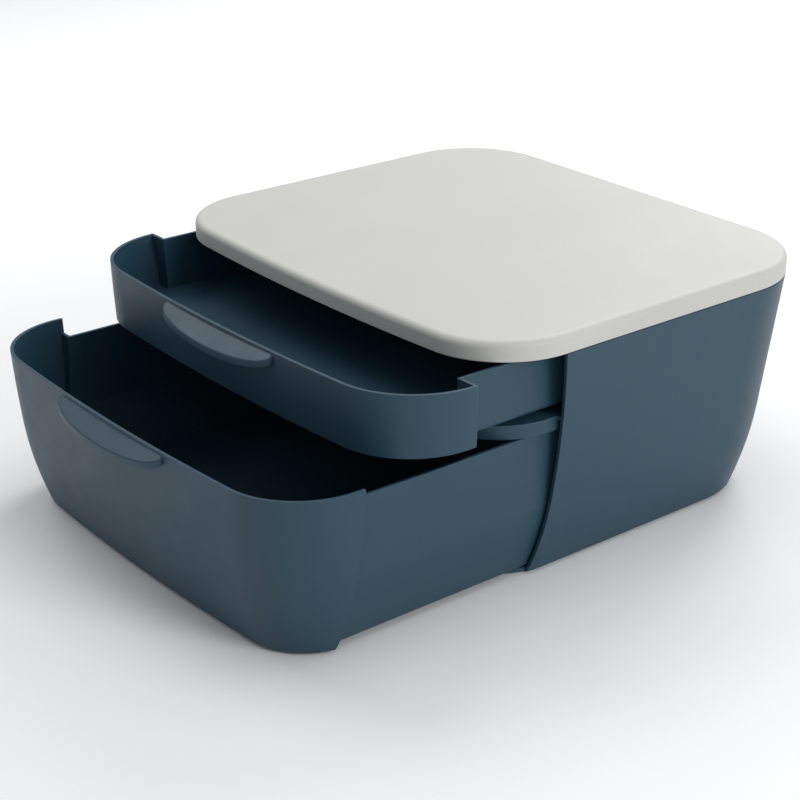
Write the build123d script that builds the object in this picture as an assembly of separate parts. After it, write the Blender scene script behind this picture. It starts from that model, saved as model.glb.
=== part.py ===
"""Desktop file box with two drawers: a tapered casing, a lid, a shelf and two pull-out drawers.

The casing, the lid and both drawer fronts share one outer form. It is a rounded rectangle in plan with a
bowed front, and it narrows downwards: straight draft on the sides, a long arc on the front, and a sweep
towards the base all round. A form is asked for by its gap, the distance inside that outer surface.

Millimetres. X is right, Y is back, Z is up, and the fronts face -Y. The origin is the centre of the
casing's flat underside, below the centre of the lid. The drawers are drawn at rest, part open.
"""
from build123d import *
from math import radians, sqrt, tan
import os

# ---- outer form ----
WIDTH = 380.0  # across the lid
DEPTH = 320.0  # lid, from the foremost point of the bowed front to the back
BODY_HEIGHT = 165.0  # underside of the casing to the underside of the lid
FRONT_BOW = 9.6  # how far the front stands out at its middle
CORNER_FRONT = 62.0  # plan radius of the front corners at the lid
CORNER_FRONT_LOSS = 15.0  # how much tighter that radius is at the base
CORNER_BACK = 68.0  # plan radius of the back corners
SIDE_DRAFT = 5.2  # degrees
FRONT_ARC = 1090.0  # radius of the arc on which the front leans back
SWEEP_HEIGHT = 62.0  # below this height every wall also curves in
SWEEP_RADIUS = 330.0
BASE_EDGE = 3.0  # rounding of the edge on which the form ends

# ---- casing ----
CASING_WALL = 2.6
CASING_FLOOR = 2.5
FRONT_SECTION = 70.7  # foremost point of the front to the casing's open front edge, at its waist
JOINT_ARC = 520.0  # radius of the arc on which that edge runs forward above and below its waist
JOINT_WAIST = 118.0  # height of the waist
FLOOR_EDGE_GAP = 3.6  # the floor's front edge, inside the outer form
RIB_THICK = 2.4
RIB_PLACES = (-55.0, 20.0, 82.0)  # Y of the guide ribs on each side wall
RIB_TOP_DROP = 8.0  # the ribs stop this far below the lid
SEAM_HEIGHT = 0.7  # step along the top edge, which leaves a fine line below the lid
SEAM_DEPTH = 1.2

# ---- shelf ----
SHELF_TOP = 117.0
SHELF_PLATE = 2.4
SHELF_LIP = 10.0  # height of the turned-down front edge
SHELF_LIP_GAP = 6.4  # the lip, inside the outer form
SHELF_FIT = 0.4  # shelf to casing wall
SLOT_FIT = 0.3  # shelf plate to the ribs above it
RUNNER_PLACES = (-120.0, 0.0, 120.0)  # X of the runners that carry the upper drawer
RUNNER_WIDTH = 4.0

# ---- drawers ----
DRAWER_WALL = 2.3
DRAWER_FLOOR = 2.2
TUB_GAP = 5.1  # the drawer's sides below the crease, inside the outer form
CREASE_HEIGHT = 49.5  # above this height the tub's sides are upright
FLOOR_FIT = 0.5  # drawer floor above what it slides on
GUIDE_FIT = 0.6  # tub to guide rib
JOINT_GAP = 0.8  # closed drawer front to the casing's front edge
FRONT_SPLIT = 117.6  # height of the joint between the two drawer fronts
FRONT_SPLIT_GAP = 2.4
UPPER_TUB_RISE = 2.0  # upper drawer's floor above the lower edge of its front
TUB_BASE_EDGE = 4.0  # rounding of the tub's bottom edge
LOWER_FRONT_BOTTOM = 0.6
UPPER_RIM_DROP = 2.4  # upper drawer's rim below the lid
LOWER_SIDE_DROP = 1.2  # lower drawer's side walls below the shelf's lip
DRAWER_TRAVEL = 200.0  # closed to fully open
UPPER_REST_OPEN = 74.0
LOWER_REST_OPEN = 161.0

# ---- stops ----
STOP_PLACE = 118.0  # X of each lug and of the block that catches it
LUG_WIDTH = 22.0
STOP_WIDTH = 30.0
STOP_THICK = 2.6
STOP_FIT = 0.5  # left between lug and block at full travel
STOP_HEIGHT = 4.6  # how far a block hangs down
LUG_RISE_FIT = 0.9  # lug to the plate it passes under

# ---- finger pulls ----
PULL_HALF = 64.0  # half the width
PULL_REACH = 12.0  # how far the hood stands out
PULL_DROP = 2.6  # rim to the hood's root
PULL_FALL = 8.6  # how far the hood's top falls on its way out
PULL_LIP = 5.6  # height of the hood's front edge
PULL_WALL = 2.4
PULL_EDGE = 1.2  # rounding of the hood's upper edge
PULL_LIP_EDGE = 0.6  # rounding of the lip's lower edge

# ---- lid ----
LID_HEIGHT = 13.4
LID_TOP = 3.0
LID_WALL = 3.0
LID_EDGE = 4.5  # rounding of the top edge
LID_RIM_THICK = 2.0
LID_RIM_DEPTH = 5.0
LID_RIM_FIT = 0.3
LID_RIB_THICK = 1.8
LID_RIB_DEPTH = 5.0
LID_RIBS_ALONG = (-110.0, 0.0, 110.0)  # X of the ribs that run front to back
LID_RIBS_ACROSS = (-70.0, 0.0, 70.0)  # Y of the ribs that run side to side

# ---- feet ----
FOOT_RADIUS = 7.5
FOOT_HEIGHT = 2.4
FOOT_RECESS = 1.3
FOOT_X = 132.0
FOOT_FRONT_Y = -78.0
FOOT_BACK_Y = 96.0

FRONT_Y = -DEPTH / 2
BACK_Y = DEPTH / 2
JOINT_Y = FRONT_Y + FRONT_SECTION
LEVEL_COUNT = 12  # evenly spaced, because a smooth loft strays between uneven sections
LEVELS = [BODY_HEIGHT * i / (LEVEL_COUNT - 1) for i in range(LEVEL_COUNT)]
FAR = 2 * max(WIDTH, DEPTH)


# ---- outer form ----
def sweep_inset(z):
    """Inward curve that every wall takes near the base."""
    return max(SWEEP_HEIGHT - z, 0) ** 2 / (2 * SWEEP_RADIUS)


def side_inset(z):
    return (BODY_HEIGHT - z) * tan(radians(SIDE_DRAFT)) + sweep_inset(z)


def front_inset(z):
    return (BODY_HEIGHT - z) ** 2 / (2 * FRONT_ARC) + sweep_inset(z)


def outline(z, gap=0.0):
    """Closed plan outline of the form at height z, lying gap inside the outer surface."""
    half = WIDTH / 2 - side_inset(z) - gap
    front = FRONT_Y + front_inset(z) + gap
    back = BACK_Y - side_inset(z) - gap
    tight = CORNER_FRONT_LOSS * (BODY_HEIGHT - z) / BODY_HEIGHT
    front_r = CORNER_FRONT - tight - gap
    back_r = CORNER_BACK - gap
    bow_r = ((WIDTH / 2) ** 2 + FRONT_BOW**2) / (2 * FRONT_BOW)
    bow_centre = Vector(0, front + bow_r, z)
    corner = Vector(half - front_r, 0, z)
    corner.Y = bow_centre.Y - sqrt((bow_r - front_r) ** 2 - corner.X**2)
    reach = (corner - bow_centre).normalized()
    tangent = bow_centre + reach * bow_r
    middle = corner + (reach + Vector(1, 0, 0)).normalized() * front_r
    side_front = Vector(half, corner.Y, z)
    side_back = Vector(half, back - back_r, z)
    back_middle = Vector(half - back_r, back - back_r, z) + Vector(1, 1, 0).normalized() * back_r
    back_end = Vector(half - back_r, back, z)

    def left(point):
        return Vector(-point.X, point.Y, point.Z)

    edges = [
        Edge.make_three_point_arc(left(tangent), Vector(0, front, z), tangent),
        Edge.make_three_point_arc(tangent, middle, side_front),
        Edge.make_line(side_front, side_back),
        Edge.make_three_point_arc(side_back, back_middle, back_end),
        Edge.make_line(back_end, left(back_end)),
        Edge.make_three_point_arc(left(back_end), left(back_middle), left(side_back)),
        Edge.make_line(left(side_back), left(side_front)),
        Edge.make_three_point_arc(left(side_front), left(middle), left(tangent)),
    ]
    return Wire(edges)


def form(gap=0.0):
    """The whole form as a solid, from the underside to the lid, gap inside the outer surface."""
    return Part() + Solid.make_loft([outline(z, gap) for z in LEVELS])


def outer_form():
    """The outer surface itself, with its base edge rounded."""
    body = form()
    base = body.edges().group_by(Axis.Z)[0]
    return fillet(base, BASE_EDGE)


def prism(z_low, z_high, section, gap):
    """Upright prism on the form's outline at height section."""
    base = Face(outline(section, gap)).moved(Location((0, 0, z_low - section)))
    return extrude(base, z_high - z_low)


def layer(z_low, z_high):
    return Pos(0, 0, (z_low + z_high) / 2) * Box(FAR, FAR, z_high - z_low)


def behind(y):
    """Half-space behind y."""
    return Pos(0, y + FAR / 2, 0) * Box(FAR, FAR, FAR)


def behind_joint(shift=0.0):
    """Everything behind the arched plane on which the casing ends and the drawer fronts close."""
    top = BODY_HEIGHT + LID_HEIGHT
    waist = (JOINT_Y + shift, JOINT_WAIST)
    low = (waist[0] - JOINT_WAIST**2 / (2 * JOINT_ARC), 0)
    high = (waist[0] - (top - JOINT_WAIST) ** 2 / (2 * JOINT_ARC), top)
    arc = ThreePointArc(low, waist, high)
    rest = Polyline(high, (FAR, top), (FAR, 0), low)
    return extrude(Plane.YZ * make_face([arc, rest]), WIDTH, both=True)


def ahead_of_joint(shift=0.0):
    return layer(0, BODY_HEIGHT + LID_HEIGHT) - behind_joint(shift)


def tub_form(gap, z_top):
    """A drawer's tub: the form below the crease, upright walls above it."""
    low = form(gap) & layer(0, CREASE_HEIGHT)
    crease = low.faces().sort_by(Axis.Z)[-1]
    return low + extrude(crease, z_top - CREASE_HEIGHT)


OUTER = outer_form()
TUB_BACK_Y = BACK_Y - side_inset(CREASE_HEIGHT) - TUB_GAP
STOP_Y = TUB_BACK_Y - DRAWER_WALL - DRAWER_TRAVEL - STOP_FIT


# ---- casing ----
def guide_ribs():
    """Upright ribs inside each side wall, which guide the drawers and carry the shelf."""
    room = tub_form(TUB_GAP - GUIDE_FIT, BODY_HEIGHT)
    band = form(CASING_WALL / 2) & layer(CASING_FLOOR / 2, BODY_HEIGHT - RIB_TOP_DROP)
    stations = Part()
    for y in RIB_PLACES:
        stations += Pos(0, y, BODY_HEIGHT / 2) * Box(FAR, RIB_THICK, BODY_HEIGHT)
    slot = layer(SHELF_TOP - SHELF_PLATE, SHELF_TOP + SLOT_FIT)
    return (band & stations) - room - slot


def casing():
    body = OUTER & behind_joint()
    walls = body - form(CASING_WALL)
    floor = body & layer(0, CASING_FLOOR)
    tongue = prism(0, CASING_FLOOR, CASING_FLOOR, FLOOR_EDGE_GAP)
    body = walls + floor + tongue + guide_ribs()
    body -= layer(BODY_HEIGHT - SEAM_HEIGHT, BODY_HEIGHT) - form(SEAM_DEPTH)
    for x, y in foot_places():
        body -= Pos(x, y, FOOT_RECESS / 2) * Cylinder(FOOT_RADIUS, FOOT_RECESS)
    return body


def foot_places():
    return [(x, y) for y in (FOOT_FRONT_Y, FOOT_BACK_Y) for x in (-FOOT_X, FOOT_X)]


def foot(x, y):
    """Soft round pad pressed into its recess."""
    pad = Pos(x, y, FOOT_RECESS - FOOT_HEIGHT / 2) * Cylinder(FOOT_RADIUS, FOOT_HEIGHT)
    return chamfer(pad.edges().group_by(Axis.Z)[0], FOOT_HEIGHT / 6)


# ---- shelf ----
def shelf():
    """Plate between the drawers, with a turned-down lip that follows the rounded front."""
    plate_layer = layer(SHELF_TOP - SHELF_PLATE, SHELF_TOP)
    back_part = form(CASING_WALL + SHELF_FIT) & behind_joint() & plate_layer
    front_solid = prism(SHELF_TOP - SHELF_LIP, SHELF_TOP, SHELF_TOP, SHELF_LIP_GAP)
    front_room = prism(SHELF_TOP - SHELF_LIP, SHELF_TOP, SHELF_TOP, SHELF_LIP_GAP + SHELF_PLATE)
    lip = (front_solid - front_room) - behind_joint(SHELF_PLATE)
    front_plate = (front_solid & plate_layer) - behind_joint(SHELF_PLATE)
    return back_part + front_plate + lip + stop_blocks(SHELF_TOP - SHELF_PLATE) + runners()


def upper_floor():
    """Height of the upper drawer's underside."""
    return FRONT_SPLIT + FRONT_SPLIT_GAP / 2 + UPPER_TUB_RISE


def runners():
    """Low rails on top of the shelf, which the upper drawer slides along."""
    top = upper_floor() - FLOOR_FIT
    length = TUB_BACK_Y - JOINT_Y
    rails = Part()
    for x in RUNNER_PLACES:
        place = Pos(x, JOINT_Y + length / 2, (SHELF_TOP - SHELF_PLATE + top) / 2)
        rails += place * Box(RUNNER_WIDTH, length, top - SHELF_TOP + SHELF_PLATE)
    return rails


def stop_blocks(z_top):
    """Pair of blocks that hang from z_top and catch a drawer's lugs."""
    blocks = Part()
    for x in (-STOP_PLACE, STOP_PLACE):
        place = Pos(x, STOP_Y - STOP_THICK / 2, z_top - STOP_HEIGHT / 2)
        blocks += place * Box(STOP_WIDTH, STOP_THICK, STOP_HEIGHT)
    return blocks


# ---- drawers ----
def pull(rim):
    """Hooded finger pull: a half-oval tongue that slopes down and outwards, hollow below."""
    root = rim - PULL_DROP
    face_y = FRONT_Y + front_inset(root)
    tongue = sloping_oval(face_y, root, PULL_HALF, PULL_REACH)
    for end, radius in ((0, PULL_LIP_EDGE), (-1, PULL_EDGE)):
        slope = tongue.faces().filter_by(GeomType.PLANE).sort_by(Axis.Z)[end]
        tongue = fillet(slope.edges(), radius)
    hollow = sloping_oval(face_y, root - PULL_WALL, PULL_HALF - PULL_WALL, PULL_REACH - PULL_WALL)
    return (tongue - hollow) & layer(0, rim)


def sloping_oval(face_y, root, half, reach):
    """Slice of an upright oval column, as high as the pull's lip, whose top falls outwards from root."""
    column = Pos(0, face_y, 0) * extrude(Ellipse(half, reach), BODY_HEIGHT + DEPTH)
    ends = [(face_y + side * FAR, root + side * FAR * PULL_FALL / PULL_REACH) for side in (-1, 1)]
    lower = [(y, z - PULL_LIP) for y, z in reversed(ends)]
    slab = extrude(Plane.YZ * make_face(Polyline(*ends, *lower, close=True)), WIDTH / 2, both=True)
    return column & slab


def drawer(front_low, front_high, floor_low, side_high, lug_high):
    """One-piece drawer: a front that is a slice of the outer form, and a narrower tub behind it."""
    front_part = ahead_of_joint(-JOINT_GAP)
    tub_part = behind_joint(-JOINT_GAP - DRAWER_WALL)
    floor_high = floor_low + DRAWER_FLOOR
    inside = form(DRAWER_WALL)
    skin = (OUTER & front_part & layer(front_low, front_high)) - inside
    skin += pull(front_high) - form(DRAWER_WALL / 2)
    front_core = form(DRAWER_WALL / 2) & front_part
    web = front_core & tub_part & layer(floor_low, side_high)
    front_floor = front_core & layer(floor_low, floor_high)
    tub = tub_form(TUB_GAP, side_high) & layer(floor_low, side_high)
    tub = fillet(tub.edges().group_by(Axis.Z)[0], TUB_BASE_EDGE) & tub_part
    room = tub_form(TUB_GAP + DRAWER_WALL, side_high) & tub_part & layer(floor_high, side_high)
    return skin + front_floor + (web + tub - room) + lugs(side_high, lug_high)


def lugs(z_low, z_high):
    """Pair of lugs on the tub's back wall, which meet the stop blocks at full travel."""
    overlap = DRAWER_WALL
    pair = Part()
    for x in (-STOP_PLACE, STOP_PLACE):
        place = Pos(x, TUB_BACK_Y - DRAWER_WALL / 2, (z_low - overlap + z_high) / 2)
        pair += place * Box(LUG_WIDTH, DRAWER_WALL, z_high - z_low + overlap)
    return pair


def upper_drawer():
    rim = BODY_HEIGHT - UPPER_RIM_DROP
    low = FRONT_SPLIT + FRONT_SPLIT_GAP / 2
    lug_top = BODY_HEIGHT + LID_HEIGHT - LID_TOP - LID_RIB_DEPTH - LUG_RISE_FIT
    body = drawer(low, rim, upper_floor(), rim, lug_top)
    return body.moved(Location((0, -UPPER_REST_OPEN, 0)))


def lower_drawer():
    rim = FRONT_SPLIT - FRONT_SPLIT_GAP / 2
    side = SHELF_TOP - SHELF_LIP - LOWER_SIDE_DROP
    lug_top = SHELF_TOP - SHELF_PLATE - LUG_RISE_FIT
    body = drawer(LOWER_FRONT_BOTTOM, rim, CASING_FLOOR + FLOOR_FIT, side, lug_top)
    return body.moved(Location((0, -LOWER_REST_OPEN, 0)))


# ---- lid ----
def lid():
    """Cover with a rounded edge, a hollow ribbed underside and a rim that drops into the casing."""
    top = BODY_HEIGHT + LID_HEIGHT
    block = prism(BODY_HEIGHT, top, BODY_HEIGHT, 0)
    block = fillet(block.edges().group_by(Axis.Z)[-1], LID_EDGE)
    hollow = prism(BODY_HEIGHT, top - LID_TOP, BODY_HEIGHT, LID_WALL)
    ribs = Part()
    rib_z = top - LID_TOP - LID_RIB_DEPTH / 2
    for x in LID_RIBS_ALONG:
        ribs += Pos(x, 0, rib_z) * Box(LID_RIB_THICK, DEPTH, LID_RIB_DEPTH)
    for y in LID_RIBS_ACROSS:
        ribs += Pos(0, y, rib_z) * Box(WIDTH, LID_RIB_THICK, LID_RIB_DEPTH)
    ribs = ribs & prism(BODY_HEIGHT, top, BODY_HEIGHT, LID_WALL / 2)
    rim_gap = CASING_WALL + LID_RIM_FIT
    rim_low = BODY_HEIGHT - LID_RIM_DEPTH
    rim = prism(rim_low, top - LID_TOP, rim_low, rim_gap) - prism(
        rim_low, top - LID_TOP, rim_low, rim_gap + LID_RIM_THICK
    )
    rim = rim & behind(JOINT_Y + CASING_WALL)
    stops = Part()
    for x in (-STOP_PLACE, STOP_PLACE):
        height = LID_HEIGHT - LID_TOP
        place = Pos(x, STOP_Y - STOP_THICK / 2, BODY_HEIGHT + height / 2)
        stops += place * Box(STOP_WIDTH, STOP_THICK, height)
    return (block - hollow) + ribs + rim + stops


PARTS = {
    "casing": casing(),
    "lid": lid(),
    "shelf": shelf(),
    "upper_drawer": upper_drawer(),
    "lower_drawer": lower_drawer(),
}
for name, (x, y) in zip(("front_left", "front_right", "back_left", "back_right"), foot_places()):
    PARTS["foot_" + name] = foot(x, y)

os.makedirs("parts", exist_ok=True)
for name, solid in PARTS.items():
    export_step(solid, f"parts/{name}.step")
    print(name, len(solid.solids()), "solid", round(solid.volume / 1000, 1), "cm3")
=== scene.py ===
# %% [markdown]
# # A desktop file box with two drawers
# The box is five large plastic mouldings: a tapered casing, a flat lid, a shelf and two drawers. The packed
# model gives their shapes, so this script is about surfaces and light: how matte plastic gets its grain, how
# a moulded edge catches the light, and how a studio shot is lit. The camera comes first, because every
# finish is judged through it.

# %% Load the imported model
import math

import bpy
from mathutils import Matrix, Vector


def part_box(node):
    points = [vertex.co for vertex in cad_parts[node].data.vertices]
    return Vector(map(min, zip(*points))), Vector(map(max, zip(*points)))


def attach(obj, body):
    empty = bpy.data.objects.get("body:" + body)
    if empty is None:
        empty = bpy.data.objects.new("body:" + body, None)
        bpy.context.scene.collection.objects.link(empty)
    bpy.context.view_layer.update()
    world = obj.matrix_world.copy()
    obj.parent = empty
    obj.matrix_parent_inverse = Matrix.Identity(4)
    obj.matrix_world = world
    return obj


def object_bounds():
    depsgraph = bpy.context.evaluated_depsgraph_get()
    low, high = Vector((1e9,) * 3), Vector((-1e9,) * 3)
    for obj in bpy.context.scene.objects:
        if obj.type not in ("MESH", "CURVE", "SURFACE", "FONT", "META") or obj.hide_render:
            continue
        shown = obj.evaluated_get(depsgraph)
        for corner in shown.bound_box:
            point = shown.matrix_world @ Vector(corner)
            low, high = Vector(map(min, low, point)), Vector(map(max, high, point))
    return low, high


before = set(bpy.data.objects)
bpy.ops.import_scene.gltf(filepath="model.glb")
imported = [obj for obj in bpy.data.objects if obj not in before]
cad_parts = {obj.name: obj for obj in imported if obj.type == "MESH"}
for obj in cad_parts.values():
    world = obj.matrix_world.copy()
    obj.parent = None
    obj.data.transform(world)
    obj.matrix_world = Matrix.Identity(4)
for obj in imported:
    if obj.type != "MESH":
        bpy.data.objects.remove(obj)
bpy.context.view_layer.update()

# %% [markdown]
# ## Camera
# A product shot is taken with a long lens from a little above, which keeps upright edges nearly parallel.
# The camera could be placed by eye, but its place and lens were worked out from the outlines of the lid and
# the drawers, so it is set from numbers. The lens shift does what a view camera does: it slides the picture
# without turning the lens.

# %% Place the camera
CAMERA_PLACE = Vector((1.0045, -0.8643, 0.6218))
CAMERA_AZIMUTH = math.radians(50.01)
CAMERA_ELEVATION = math.radians(25.39)
CAMERA_ROLL = math.radians(0.19)
SENSOR = 36.0
LENS = 85.11
SHIFT = (-0.0750, 0.0740)
FARTHEST_SEEN = 60.0

forward = Vector(
    (
        -math.sin(CAMERA_AZIMUTH) * math.cos(CAMERA_ELEVATION),
        math.cos(CAMERA_AZIMUTH) * math.cos(CAMERA_ELEVATION),
        -math.sin(CAMERA_ELEVATION),
    )
)
level_right = Vector((math.cos(CAMERA_AZIMUTH), math.sin(CAMERA_AZIMUTH), 0.0))
level_up = level_right.cross(forward)
right = level_right * math.cos(CAMERA_ROLL) + level_up * math.sin(CAMERA_ROLL)
up = level_up * math.cos(CAMERA_ROLL) - level_right * math.sin(CAMERA_ROLL)

camera_data = bpy.data.cameras.new("studio_camera")
camera_data.sensor_width = SENSOR
camera_data.lens = LENS
camera_data.shift_x, camera_data.shift_y = SHIFT
camera_data.clip_end = FARTHEST_SEEN
camera = bpy.data.objects.new("studio_camera", camera_data)
turned = Matrix((right, up, -forward)).transposed().to_4x4()
camera.matrix_world = Matrix.Translation(CAMERA_PLACE) @ turned
bpy.context.scene.collection.objects.link(camera)
bpy.context.scene.camera = camera
print("camera at", [round(v, 3) for v in CAMERA_PLACE], "lens", LENS, "mm")

# %% [markdown]
# ## Writing node trees as sums
# A material or a Geometry Nodes tree is a graph, and building one by hand is long. Here a socket is wrapped
# in a small class that knows +, -, *, / and >, so a mask is written as `1 - facing` and the Math nodes add
# themselves. Every other node comes from one method: its settings are set first, because they decide which
# sockets it has, and then the sockets. Mixing two colours is so common that it has a shorthand, which calls
# that method.

# %% Wrap sockets so that they add and multiply
MIX_FACTOR = 0
MIX_FIRST = 6
MIX_SECOND = 7
MIX_RESULT = 2


class Term:
    """A number that varies over a surface or along a list of points."""

    def __init__(self, graph, socket):
        self.graph = graph
        self.socket = socket

    def math(self, operation, first, second):
        return self.graph.node("ShaderNodeMath", {"operation": operation}, {0: first, 1: second})

    def __add__(self, other):
        return self.math("ADD", self, other)

    def __sub__(self, other):
        return self.math("SUBTRACT", self, other)

    def __rsub__(self, other):
        return self.math("SUBTRACT", other, self)

    def __mul__(self, other):
        return self.math("MULTIPLY", self, other)

    def __truediv__(self, other):
        return self.math("DIVIDE", self, other)

    def __rtruediv__(self, other):
        return self.math("DIVIDE", other, self)

    def __gt__(self, other):
        return self.math("GREATER_THAN", self, other)

    __radd__ = __add__
    __rmul__ = __mul__


class Graph:
    """A node tree under construction."""

    def __init__(self, tree):
        self.tree = tree
        self.tree.nodes.clear()

    def node(self, kind, settings, sockets, outlet=0):
        made = self.tree.nodes.new(kind)
        for name, value in settings.items():
            setattr(made, name, value)
        for name, value in sockets.items():
            if isinstance(value, Term):
                self.tree.links.new(value.socket, made.inputs[name])
            else:
                made.inputs[name].default_value = value
        return Term(self, made.outputs[outlet]) if made.outputs else made

    def mix_colours(self, factor, first, second):
        """The Mix node has sockets for each kind of value, and these are the ones for colours."""
        sockets = {MIX_FACTOR: factor, MIX_FIRST: first, MIX_SECOND: second}
        return self.node("ShaderNodeMix", {"data_type": "RGBA"}, sockets, outlet=MIX_RESULT)


def new_material(name):
    """An empty material and the graph that its shader is built in."""
    material = bpy.data.materials.new(name)
    material.use_nodes = True
    return material, Graph(material.node_tree)


print("node helper ready")

# %% [markdown]
# ## Moulded plastic
# The casing, shelf and drawers are one petrol-blue plastic. Its tool is spark-eroded, which leaves a fine,
# even matte grain about 0.4 mm across, and the skin never reflects quite evenly, because the plastic cools
# unevenly behind ribs. A photographed texture could give this, but it would show seams and fix the scale.
# Noise on the Object coordinates has a true size in metres and runs over every wall without a seam.
#
# A moulded edge is never sharp. The Bevel node rounds the normal near an edge by tracing short rays, so the
# edge catches a thin line of light without any change to the mesh. Comparing that normal with the true one
# tells how close an edge is, and the same mask paints the edge paler: a painted highlight along every edge.

# %% Build the plastic finish
CLOUD_SCALE = 9.0
CLOUD_DETAIL = 3.0
CLOUD_DARK = 0.94
CLOUD_PALE = 1.06
SMUDGE_SCALE = 38.0
SMUDGE_DETAIL = 4.0
SMUDGE_SWING = 0.16
NOISE_MIDDLE = 0.5
GRAIN_SCALE = 2600.0
GRAIN_DETAIL = 1.5
GRAIN_DEPTH = 0.00006
BEVEL_SAMPLES = 6
EDGE_GAIN = 5.0
EDGE_HIGHLIGHT_PALE = 2.2
MOULD_IOR = 1.49
MOULD_SHINE = 0.42
SCREEN_WHITE = 255
SCREEN_OFFSET = 0.055
SCREEN_GAMMA = 2.4


def linear(colour):
    """A colour picked on screen, as the linear light that a shader works in."""
    lifted = [(v / SCREEN_WHITE + SCREEN_OFFSET) / (1 + SCREEN_OFFSET) for v in colour]
    return tuple(v**SCREEN_GAMMA for v in lifted)


def shade(colour, factor):
    """A colour made darker or paler, with its alpha."""
    return tuple(v * factor for v in colour) + (1.0,)


def moulded_plastic(name, colour, roughness, grain, edge_radius, painted_edge_highlight):
    material, graph = new_material(name)
    place = graph.node("ShaderNodeTexCoord", {}, {}, outlet="Object")

    def noise(scale, detail):
        sockets = {"Vector": place, "Scale": scale, "Detail": detail}
        return graph.node("ShaderNodeTexNoise", {"noise_dimensions": "3D"}, sockets)

    clouds = noise(CLOUD_SCALE, CLOUD_DETAIL)
    smudges = noise(SMUDGE_SCALE, SMUDGE_DETAIL)
    pits = noise(GRAIN_SCALE, GRAIN_DETAIL)
    soft = graph.node("ShaderNodeBevel", {"samples": BEVEL_SAMPLES}, {"Radius": edge_radius})
    true = graph.node("ShaderNodeNewGeometry", {}, {}, outlet="Normal")
    facing = graph.node(
        "ShaderNodeVectorMath", {"operation": "DOT_PRODUCT"}, {0: soft, 1: true}, outlet="Value"
    )
    edge_highlight_mask = graph.node("ShaderNodeClamp", {}, {"Value": (1 - facing) * EDGE_GAIN})
    even = graph.mix_colours(clouds, shade(colour, CLOUD_DARK), shade(colour, CLOUD_PALE))
    # Painted highlight: near every edge the colour is mixed towards a paler one, standing in for light on
    # the rim.
    with_edge_highlight = graph.mix_colours(edge_highlight_mask * painted_edge_highlight, even, shade(colour, EDGE_HIGHLIGHT_PALE))
    relief = graph.node(
        "ShaderNodeBump",
        {},
        {"Strength": grain, "Distance": GRAIN_DEPTH, "Height": pits, "Normal": soft},
    )
    surface = graph.node(
        "ShaderNodeBsdfPrincipled",
        {},
        {
            "Base Color": with_edge_highlight,
            "Roughness": roughness + (smudges - NOISE_MIDDLE) * SMUDGE_SWING,
            "Normal": relief,
            "IOR": MOULD_IOR,
            "Specular IOR Level": MOULD_SHINE,
        },
    )
    graph.node("ShaderNodeOutputMaterial", {}, {"Surface": surface})
    return material


PETROL = linear((37, 67, 83))
blue_plastic = moulded_plastic(
    "petrol_blue_plastic", PETROL, roughness=0.46, grain=0.35, edge_radius=0.0007, painted_edge_highlight=0.5
)
print("petrol blue in linear light:", [round(v, 3) for v in PETROL])

# %% [markdown]
# ## Lid plastic
# The lid is a second colour of the same plastic, a warm light grey, and is a little more matte so that
# things set on it don't mirror. A pale surface shows grain less and dirt more, so the same builder is called
# with weaker grain, and the painted edge highlight is off: a pale edge doesn't get paler.

# %% Build the lid finish
WARM_GREY = linear((191, 191, 186))
grey_plastic = moulded_plastic(
    "warm_grey_plastic", WARM_GREY, roughness=0.55, grain=0.25, edge_radius=0.0006, painted_edge_highlight=0.0
)
print("warm grey in linear light:", [round(v, 3) for v in WARM_GREY])

# %% [markdown]
# ## Rubber
# The pads below the casing are black rubber. It is rough, slightly dusty and reflects almost nothing, so a
# rough Principled shader with a little noise in its colour is enough.

# %% Build the rubber finish
RUBBER = (0.018, 0.018, 0.019)
RUBBER_ROUGHNESS = 0.85
DUST_SCALE = 500.0
DUST_DETAIL = 3.0
DUST_DARK = 0.8
DUST_PALE = 2.0


def pad_rubber(name):
    material, graph = new_material(name)
    place = graph.node("ShaderNodeTexCoord", {}, {}, outlet="Object")
    dust = graph.node(
        "ShaderNodeTexNoise", {}, {"Vector": place, "Scale": DUST_SCALE, "Detail": DUST_DETAIL}
    )
    colour = graph.mix_colours(dust, shade(RUBBER, DUST_DARK), shade(RUBBER, DUST_PALE))
    surface = graph.node(
        "ShaderNodeBsdfPrincipled", {}, {"Base Color": colour, "Roughness": RUBBER_ROUGHNESS}
    )
    graph.node("ShaderNodeOutputMaterial", {}, {"Surface": surface})
    return material


rubber = pad_rubber("black_rubber")
print("rubber ready")

# %% [markdown]
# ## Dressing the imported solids
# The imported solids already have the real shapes, so none is replaced. Each takes its finish in its own
# material slot.

# %% Give each solid its finish
FINISHES = {
    "casing": blue_plastic,
    "shelf": blue_plastic,
    "upper_drawer": blue_plastic,
    "lower_drawer": blue_plastic,
    "lid": grey_plastic,
    "foot_front_left": rubber,
    "foot_front_right": rubber,
    "foot_back_left": rubber,
    "foot_back_right": rubber,
}
for node, finish in FINISHES.items():
    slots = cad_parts[node].material_slots
    for slot in slots:
        slot.link = "OBJECT"
        slot.material = finish
    print(node, "wears", finish.name, "in", len(slots), "slot(s)")

# %% [markdown]
# ## Grip under the pads
# A pad holds because its underside is moulded with small domes that bite into a desk. There are dozens, all
# alike, on a regular grid inside a circle. They could be modelled once and copied by hand, but a rule is
# shorter and keeps its sizes open: a Geometry Nodes tree lays a grid, drops the points outside the circle,
# sets a flattened sphere on each and repeats the patch at every pad. The result is then made one plain mesh.

# %% Build the grip tree
GRIP = {
    "Patch radius": 0.0064,
    "Pitch": 0.0017,
    "Dome radius": 0.00055,
    "Dome height": 0.0002,
}
DOME_SEGMENTS = 10
DOME_RINGS = 6


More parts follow.
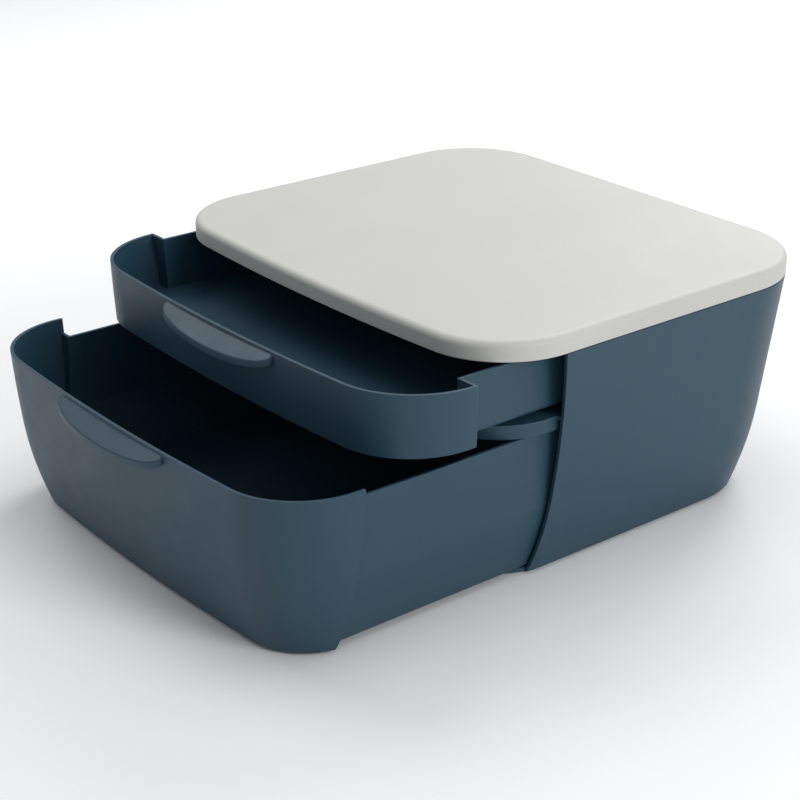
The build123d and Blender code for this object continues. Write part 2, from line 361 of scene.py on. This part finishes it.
def grip_tree(finish):
    """Returns the tree and the identifier of each named size."""
    tree = bpy.data.node_groups.new("pad_grip", "GeometryNodeTree")
    face = tree.interface
    face.new_socket("Pads", in_out="INPUT", socket_type="NodeSocketGeometry")
    identifiers = {}
    for name in GRIP:
        item = face.new_socket(name, in_out="INPUT", socket_type="NodeSocketFloat")
        identifiers[name] = item.identifier
    face.new_socket("Grip", in_out="OUTPUT", socket_type="NodeSocketGeometry")
    graph = Graph(tree)

    def given(name):
        return graph.node("NodeGroupInput", {}, {}, outlet=name)

    radius, pitch, dome = given("Patch radius"), given("Pitch"), given("Dome radius")
    across = radius * 2
    count = across / pitch + 1
    grid = graph.node(
        "GeometryNodeMeshGrid",
        {},
        {"Size X": across, "Size Y": across, "Vertices X": count, "Vertices Y": count},
    )
    place = graph.node("GeometryNodeInputPosition", {}, {})
    reach = graph.node("ShaderNodeVectorMath", {"operation": "LENGTH"}, {0: place}, outlet="Value")
    patch = graph.node(
        "GeometryNodeDeleteGeometry", {"domain": "POINT"}, {"Geometry": grid, "Selection": reach > radius}
    )
    ball = graph.node(
        "GeometryNodeMeshUVSphere", {}, {"Segments": DOME_SEGMENTS, "Rings": DOME_RINGS, "Radius": dome}
    )
    flat = graph.node("ShaderNodeCombineXYZ", {}, {"X": 1.0, "Y": 1.0, "Z": given("Dome height") / dome})
    domes = graph.node(
        "GeometryNodeInstanceOnPoints", {}, {"Points": patch, "Instance": ball, "Scale": flat}
    )
    pads = graph.node("GeometryNodeInstanceOnPoints", {}, {"Points": given("Pads"), "Instance": domes})
    real = graph.node("GeometryNodeRealizeInstances", {}, {"Geometry": pads})
    dressed = graph.node("GeometryNodeSetMaterial", {}, {"Geometry": real, "Material": finish})
    graph.node("NodeGroupOutput", {}, {"Grip": dressed})
    return tree, identifiers


grip, grip_sizes = grip_tree(rubber)
print("grip tree has", len(grip.nodes), "nodes")

# %% Grow the grip and make it a plain mesh
PADS = [name for name in FINISHES if name.startswith("foot_")]


def under_middle(node):
    low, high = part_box(node)
    return ((low.x + high.x) / 2, (low.y + high.y) / 2, low.z)


def plain_mesh(host):
    """Bakes an object's modifiers into its mesh and removes them."""
    seen = host.evaluated_get(bpy.context.evaluated_depsgraph_get())
    made = bpy.data.meshes.new_from_object(seen)
    host.modifiers.clear()
    host.data = made


spots = bpy.data.meshes.new("pad_grip")
spots.from_pydata([under_middle(node) for node in PADS], [], [])
pad_grip = bpy.data.objects.new("pad_grip", spots)
bpy.context.scene.collection.objects.link(pad_grip)
grower = pad_grip.modifiers.new("grow", "NODES")
grower.node_group = grip
for name, size in GRIP.items():
    grower[grip_sizes[name]] = size
plain_mesh(pad_grip)
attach(pad_grip, "box")
print("grip:", len(pad_grip.data.polygons), "faces under", len(PADS), "pads")

# %% [markdown]
# ## Floor and light
# The shot is lit as goods are for a catalogue: a broad soft light overhead, one from the right that models
# the side, one from the left that puts a sheen on the sloping pulls, one from behind for the lid's edge, and
# a pale room that fills the shadows. Large lights matter more than strong ones here, because a matte surface
# shows the size of a light in how softly its shading turns round a corner.

# %% Lay the floor
FLOOR_SIZE = 14.0
FLOOR_COLOUR = (0.88, 0.88, 0.88, 1.0)
FLOOR_ROUGHNESS = 0.9
FLOOR_SHINE = 0.1
FLOOR_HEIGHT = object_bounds()[0][2]


def flat_floor(name, size, height):
    half = size / 2
    mesh = bpy.data.meshes.new(name)
    corners = [(-half, -half, height), (half, -half, height), (half, half, height), (-half, half, height)]
    mesh.from_pydata(corners, [], [(0, 1, 2, 3)])
    floor = bpy.data.objects.new(name, mesh)
    bpy.context.scene.collection.objects.link(floor)
    material, graph = new_material(name)
    paper = graph.node(
        "ShaderNodeBsdfPrincipled",
        {},
        {"Base Color": FLOOR_COLOUR, "Roughness": FLOOR_ROUGHNESS, "Specular IOR Level": FLOOR_SHINE},
    )
    graph.node("ShaderNodeOutputMaterial", {}, {"Surface": paper})
    mesh.materials.append(material)


flat_floor("studio_floor", FLOOR_SIZE, FLOOR_HEIGHT)
print("floor at", round(FLOOR_HEIGHT, 5), "m")

# %% Hang the lights
AIM = Vector((0.0, -0.05, 0.09))
ROOM_COLOUR = (0.95, 0.97, 1.0, 1.0)
ROOM_STRENGTH = 0.40


def soft_light(name, place, size, power):
    data = bpy.data.lights.new(name, "AREA")
    data.shape = "DISK"
    data.size = size
    data.energy = power
    light = bpy.data.objects.new(name, data)
    light.location = place
    light.rotation_euler = (AIM - Vector(place)).to_track_quat("-Z", "Y").to_euler()
    bpy.context.scene.collection.objects.link(light)
    print(name, "at", place, "size", size, "m")


soft_light("overhead_light", place=(0.1, 0.4, 2.2), size=2.0, power=14.3)
soft_light("right_light", place=(2.3, 0.3, 1.1), size=1.2, power=27.2)
soft_light("left_light", place=(-1.6, -0.4, 1.7), size=1.2, power=13.3)
soft_light("back_light", place=(-1.0, 1.9, 1.6), size=1.4, power=28.9)

world = bpy.data.worlds.new("studio_room")
world.use_nodes = True
room = Graph(world.node_tree)
glow = room.node("ShaderNodeBackground", {}, {"Color": ROOM_COLOUR, "Strength": ROOM_STRENGTH})
room.node("ShaderNodeOutputWorld", {}, {"Surface": glow})
bpy.context.scene.world = world
bpy.context.scene.view_settings.view_transform = "Standard"
